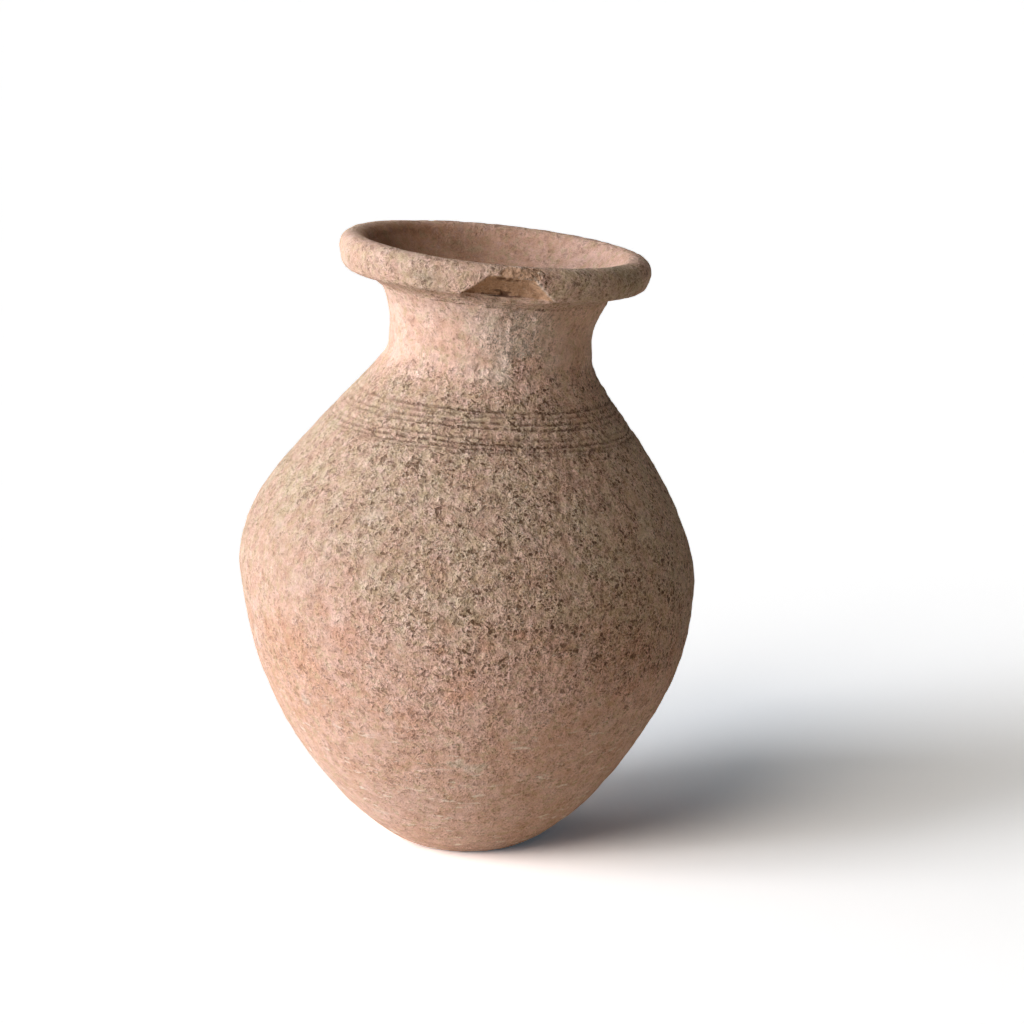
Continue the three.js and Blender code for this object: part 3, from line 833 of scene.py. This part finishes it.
    # pale grit: sand grains, partly a painted highlight on them
    colour = tinted(colour, gritty, "gritty", "grit")
    streak = node(tree, "Math", (masks["flecks"], marksOf["scraped"]), operation="MULTIPLY")
    streak = node(tree, "Math", (streak, streaks), operation="MULTIPLY")
    colour = tinted(colour, streak, "streak", "grit")
    # soil and painted shade in pits, holes and the comb's grooves, and the hollow mark's painted shade
    soilAndShade = 0.0
    for mark, amount in (("pitted", pitted), ("hollow", marksOf["hollow"]), ("holes", holes),
                         ("groove", groove)):
        share = node(tree, "Math", (amount, tints[mark]), operation="MULTIPLY")
        soilAndShade = node(tree, "Math", (soilAndShade, share), operation="MAXIMUM")
    colour = tinted(colour, soilAndShade, "soilAndShade", "soilShadeBrown")
    # scars, and the painted highlights and light of the break and the neck
    colour = tinted(colour, marksOf["pale"], "pale", "chalk")
    chalky = node(tree, "Math", (marksOf["lime"], masks["chalky"]), operation="MULTIPLY")
    colour = tinted(colour, chalky, "chalky", "chalk")

    # height of the skin in mm
    height = node(tree, "Math", (noises["granules"], noises["clumps"]), operation="ADD")
    height = node(tree, "Math", (height, relief), operation="MULTIPLY")
    height = node(tree, "Math", (height, grainy), operation="MULTIPLY")
    for mark, amount in (("pitted", pitted), ("holes", holes), ("groove", groove), ("gritty", gritty),
                         ("streak", streak)):
        height = node(tree, "Math", (amount, skinHeights[mark], height), operation="MULTIPLY_ADD")
    surface = node(tree, "Bump", {"Height": height, "Strength": 1.0, "Distance": mm})
    shader = node(tree, "BsdfPrincipled", {"Base Color": colour, "Normal": surface, **unglazed})
    node(tree, "OutputMaterial", {"Surface": shader})
    return material


# Each section: piece, CAD node, slot, strips of the profile, and its material with the relief of the
# grain, the share of pits and the share of pale scraping streaks.
sections = (
    ("scrapedBase", "base", "foot_clay", ("foot", "baseOut", "baseIn", "floor"),
     ("scraped earthenware", 1.5, 0.8, 0.8)),
    ("pittedLowerBody", "lower_body", "body_clay", ("bodyOut", "bodyIn"),
     ("pitted earthenware", 1.5, 1.0, 0.8)),
    ("combedShoulder", "shoulder", "shoulder_clay", ("shoulderOut", "shoulderIn"),
     ("weathered earthenware", 1.5, 1.0, 0.5)),
    ("wipedNeck", "neck", "neck_clay", ("neckOut", "neckIn"), ("wiped earthenware", 1.5, 1.0, 0.5)),
    ("rolledRim", "rim", "rim_clay", ("roll",), ("worn earthenware", 1.5, 1.0, 0.5)),
)
for name, nodeName, slot, strips, finish in sections:
    clayPiece(name, nodeName, strips, earthenware(*finish))
print("jar made, %.1f s" % (time.time() - startTime))

studio = {
    "cameraBack": 1500.0, "cameraHeight": 464.2, "pitch": 12.25, "yaw": 0.72,
    "focal": 3722.5, "framePixels": 1024, "sensor": 36.0,  # focal length and frame in pixels, sensor in mm
    # a low window on the left, as soft discs side by side: degrees left of the camera and up, and light
    "window": ((50.0, 5.0, 0.1), (62.0, 5.0, 0.82), (84.0, 5.0, 0.36), (98.0, 5.0, 0.24), (115.0, 5.0, 0.19),
               (68.0, 31.0, 0.36)),
    "above": ((33.0, 39.0, 0.26), (75.0, 70.0, 0.02)),
    "spread": 30.0,  # degrees across each disc
    "windowColour": (0.92, 1.0, 1.1), "aboveColour": (1.04, 1.0, 0.94), "cardColour": (1.15, 1.0, 0.8),
    "card": ((-40.0, 10.0, 0.02),),  # a weak reflector on the right
    "skyLight": 0.012,
    "floorHalf": 8.0,  # metres
    "floorBounce": (0.88, 0.8, 0.67),  # what the floor throws back on the jar
    "floorSeen": (1.81, 1.7, 1.603), "floorGlow": (0.02, 0.04, 0.055),  # as the camera sees it: reflects, adds
}


def makeCamera():
    # stands back from the jar on -Y, turned right by yaw and down by pitch
    s = studio
    camera = bpy.data.cameras.new("camera")
    camera.sensor_width = s["sensor"]
    camera.lens = s["focal"] / s["framePixels"] * s["sensor"]
    camera.clip_end = 50  # metres, well past the floor's far edge
    holder = bpy.data.objects.new("camera", camera)
    bpy.context.scene.collection.objects.link(holder)
    turn = Matrix.Rotation(math.radians(-s["yaw"]), 4, "Z")
    turn = turn @ Matrix.Rotation(math.radians(90 - s["pitch"]), 4, "X")
    holder.matrix_world = Matrix.Translation((0, -s["cameraBack"] * mm, s["cameraHeight"] * mm)) @ turn
    bpy.context.scene.camera = holder


def makeSun(name, colour, turn, height, light):
    # a sun of strength pi shows a surface that faces it in its own colour; turn is left of the camera
    lamp = bpy.data.lights.new(name, "SUN")
    lamp.energy = light * math.pi
    lamp.angle = math.radians(studio["spread"])
    lamp.color = colour
    holder = bpy.data.objects.new(name, lamp)
    turn, up = math.radians(turn), math.radians(height)
    source = Vector((-math.sin(turn) * math.cos(up), -math.cos(turn) * math.cos(up), math.sin(up)))
    holder.rotation_euler = (-source).to_track_quat("-Z", "Y").to_euler()
    holder.location = source * 2
    bpy.context.scene.collection.objects.link(holder)


def makeLight():
    # the lamps, and a world that lights weakly but shows white to the camera and in gloss
    s = studio
    for kind in ("window", "above", "card"):
        for i, disc in enumerate(s[kind]):
            makeSun("%s%d" % (kind, i + 1), s[kind + "Colour"], *disc)
    world = bpy.data.worlds.new("studio")
    bpy.context.scene.world = world
    world.use_nodes = True
    tree = world.node_tree
    tree.nodes.clear()
    ray = node(tree, "LightPath").node.outputs
    seen = node(tree, "Math", (ray["Is Camera Ray"], ray["Is Glossy Ray"]), operation="MAXIMUM")
    fill = node(tree, "Background", {"Color": (1, 1, 1, 1), "Strength": s["skyLight"]})
    white = node(tree, "Background", {"Color": (1, 1, 1, 1), "Strength": 1.0})
    node(tree, "OutputWorld", {"Surface": node(tree, "MixShader", (seen, fill, white))})


def makeFloor():
    # a flat square that looks white and throws a warmer light back on the jar
    s = studio
    half = s["floorHalf"]
    corners = [(-half, -half, 0), (half, -half, 0), (half, half, 0), (-half, half, 0)]
    mesh = bpy.data.meshes.new("floor")
    mesh.from_pydata(corners, [], [(0, 1, 2, 3)])
    floor = bpy.data.objects.new("floor", mesh)
    bpy.context.scene.collection.objects.link(floor)
    material = bpy.data.materials.new("white paper sweep")
    material.use_nodes = True
    tree = material.node_tree
    tree.nodes.clear()
    ray = node(tree, "LightPath", output="Is Camera Ray")
    paper = node(tree, "BsdfDiffuse", {"Color": s["floorSeen"] + (1,)})
    glow = node(tree, "Emission", {"Color": s["floorGlow"] + (1,), "Strength": 1.0})
    shown = node(tree, "AddShader", (paper, glow))
    bounce = node(tree, "BsdfDiffuse", {"Color": s["floorBounce"] + (1,)})
    node(tree, "OutputMaterial", {"Surface": node(tree, "MixShader", (ray, bounce, shown))})
    mesh.materials.append(material)


makeCamera()
makeLight()
makeFloor()
bpy.context.scene.view_settings.view_transform = "Standard"
print("studio made")
